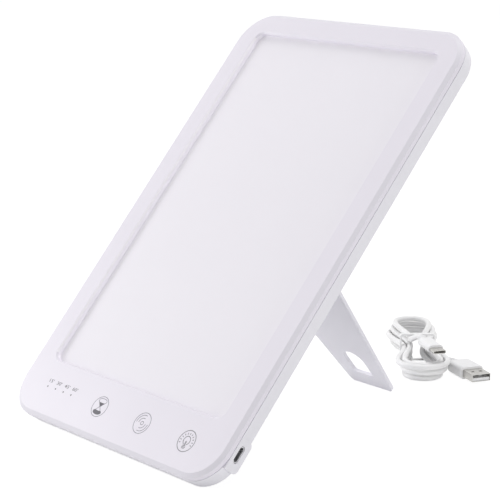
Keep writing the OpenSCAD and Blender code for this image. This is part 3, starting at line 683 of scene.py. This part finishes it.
def run_tree(name, tree, **values):
    holder = new_object(name, bpy.data.meshes.new(name))
    modifier = holder.modifiers.new(name, "NODES")
    modifier.node_group = tree
    sockets = {s.name: s.identifier for s in tree.interface.items_tree if s.in_out == "INPUT"}
    for label, value in values.items():
        modifier[sockets[label]] = value
    depsgraph = bpy.context.evaluated_depsgraph_get()
    plain = bpy.data.meshes.new_from_object(holder.evaluated_get(depsgraph), depsgraph=depsgraph)
    holder.modifiers.clear()
    holder.data = plain
    return holder


# %% The bulb's rays
RAYS = 11
RAY_LENGTH = 1.0
RAYS_DOWN = 0.4
rays = run_tree(
    "light_rays",
    ticks_tree(digit_ink),
    Count=RAYS,
    Radius=4.55,
    Start=math.radians(-16),
    Sweep=math.radians(212),
    Tick=(RAY_LENGTH, BULB_LINE, INK),
)
rays.data.transform(from_drawing @ Matrix.Translation((BULB_X, BULB_Y - RAYS_DOWN, INK_MIDDLE)))
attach(rays, "panel")
print("rays:", RAYS, "faces:", len(rays.data.polygons))

# %% [markdown]
# The four small lights each have a plain number of minutes above them. A text object gives good
# numerals. It is made a mesh before it is placed, because its place has to be in its mesh.

# %% Numbers above the timer lights
TIMER_Y = 21.5
TIMER_X = (-64.5, -56.8, -49.1, -41.6)
NUMBERS = ("15'", "30'", "45'", "60'")
DIGIT_SIZE, DIGIT_WIDEN, DIGIT_BOLD = 2.8, 1.45, 0.012


def printed_number(text, x, y, size):
    data = bpy.data.curves.new("minutes_" + text[:2], "FONT")
    data.body = text
    data.size = size
    data.align_x, data.align_y = "CENTER", "CENTER"
    data.extrude = INK / 2
    data.offset = DIGIT_BOLD
    data.resolution_u = 4
    words = new_object(data.name, data)
    bpy.context.view_layer.update()
    mesh = bpy.data.meshes.new_from_object(words)
    bpy.data.objects.remove(words)
    widen = Matrix.Diagonal((DIGIT_WIDEN, 1, 1, 1))
    mesh.transform(from_drawing @ Matrix.Translation((x, y, INK_MIDDLE)) @ widen)
    mesh.materials.clear()
    mesh.materials.append(digit_ink)
    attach(new_object("minutes_" + text[:2], mesh), "panel")


for text, x in zip(NUMBERS, TIMER_X):
    printed_number(text, x, TIMER_Y, DIGIT_SIZE)
print("numbers:", *NUMBERS)

# %% [markdown]
# ## The table and the light
# The photograph is a studio shot on white. The floor is a plain white sheet that looks white to
# the camera and still takes the lamp's soft shadow: part of it shines, and part of it is lit.
# The light comes from an even surround and three soft lamps. One hangs overhead and grazes the
# panel, so the window's upper edge keeps a soft shadow. A small one on the left is close enough
# to make the front fade from left to right, as it does in the photograph. A low one on the right
# lights the side wall and the wall of the window that faces it.


# %% Rays that show a white background
def seen_directly(tree):
    add, link = tree.nodes.new, tree.links.new
    rays, first, both = add("ShaderNodeLightPath"), add("ShaderNodeMath"), add("ShaderNodeMath")
    first.operation = both.operation = "MAXIMUM"
    link(rays.outputs["Is Camera Ray"], first.inputs[0])
    link(rays.outputs["Is Glossy Ray"], first.inputs[1])
    link(first.outputs["Value"], both.inputs[0])
    link(rays.outputs["Is Transmission Ray"], both.inputs[1])
    return both.outputs["Value"]


# %% White floor
FLOOR_REACH = 6
FLOOR_BOUNCE = (0.9, 0.9, 0.9, 1)
FLOOR_SHADED = (0.3, 0.3, 0.3, 1)
FLOOR_GLOW = 0.86


def white_floor(reach):
    corners = [(-reach, -reach, 0), (reach, -reach, 0), (reach, reach, 0), (-reach, reach, 0)]
    mesh = bpy.data.meshes.new("floor")
    mesh.from_pydata(corners, [], [(0, 1, 2, 3)])
    piece = new_object("floor", mesh)
    m = bpy.data.materials.new("studio_white")
    m.use_nodes = True
    tree = m.node_tree
    tree.nodes.clear()
    add, link = tree.nodes.new, tree.links.new
    out, mix = add("ShaderNodeOutputMaterial"), add("ShaderNodeMixShader")
    lit, both = add("ShaderNodeBsdfDiffuse"), add("ShaderNodeAddShader")
    lit.inputs["Color"].default_value = FLOOR_BOUNCE
    faint = add("ShaderNodeBsdfDiffuse")
    faint.inputs["Color"].default_value = FLOOR_SHADED
    glow = add("ShaderNodeEmission")
    glow.inputs["Strength"].default_value = FLOOR_GLOW
    link(faint.outputs["BSDF"], both.inputs[0])
    link(glow.outputs["Emission"], both.inputs[1])
    link(seen_directly(tree), mix.inputs["Fac"])
    link(lit.outputs["BSDF"], mix.inputs[1])
    link(both.outputs["Shader"], mix.inputs[2])
    link(mix.outputs["Shader"], out.inputs["Surface"])
    mesh.materials.append(m)
    print("floor: %d m wide" % (2 * reach))


white_floor(FLOOR_REACH)


# %% Even surround and soft lamps
def surround(level):
    world = bpy.data.worlds.new("studio")
    bpy.context.scene.world = world
    world.use_nodes = True
    tree = world.node_tree
    tree.nodes.clear()
    add, link = tree.nodes.new, tree.links.new
    out, mix = add("ShaderNodeOutputWorld"), add("ShaderNodeMixShader")
    room, white = add("ShaderNodeBackground"), add("ShaderNodeBackground")
    for light, strength in ((room, level), (white, 1)):
        light.inputs["Color"].default_value = (1, 1, 1, 1)
        light.inputs["Strength"].default_value = strength
    link(seen_directly(tree), mix.inputs["Fac"])
    link(room.outputs["Background"], mix.inputs[1])
    link(white.outputs["Background"], mix.inputs[2])
    link(mix.outputs["Shader"], out.inputs["Surface"])


def soft_lamp(name, place, size, power):
    data = bpy.data.lights.new(name, "AREA")
    data.shape = "SQUARE"
    data.size = size
    data.energy = power
    lamp = new_object(name, data)
    lamp.location = place
    lamp.rotation_euler = (Vector(LAMP_AIM) - Vector(place)).to_track_quat("-Z", "Y").to_euler()
    print("lamp %s: %.1f m wide, %.1f W" % (name, size, power))


LAMP_AIM = (0, 0, 0.1)
surround(0.5)
soft_lamp("overhead", place=(0, 0.6, 2), size=1.1, power=17.6)
soft_lamp("near_left", place=(-0.95, -0.6, 0.25), size=0.5, power=5.4)
soft_lamp("low_right", place=(1.6, -0.3, 0.25), size=0.6, power=4.7)
bpy.context.scene.view_settings.view_transform = "Standard"
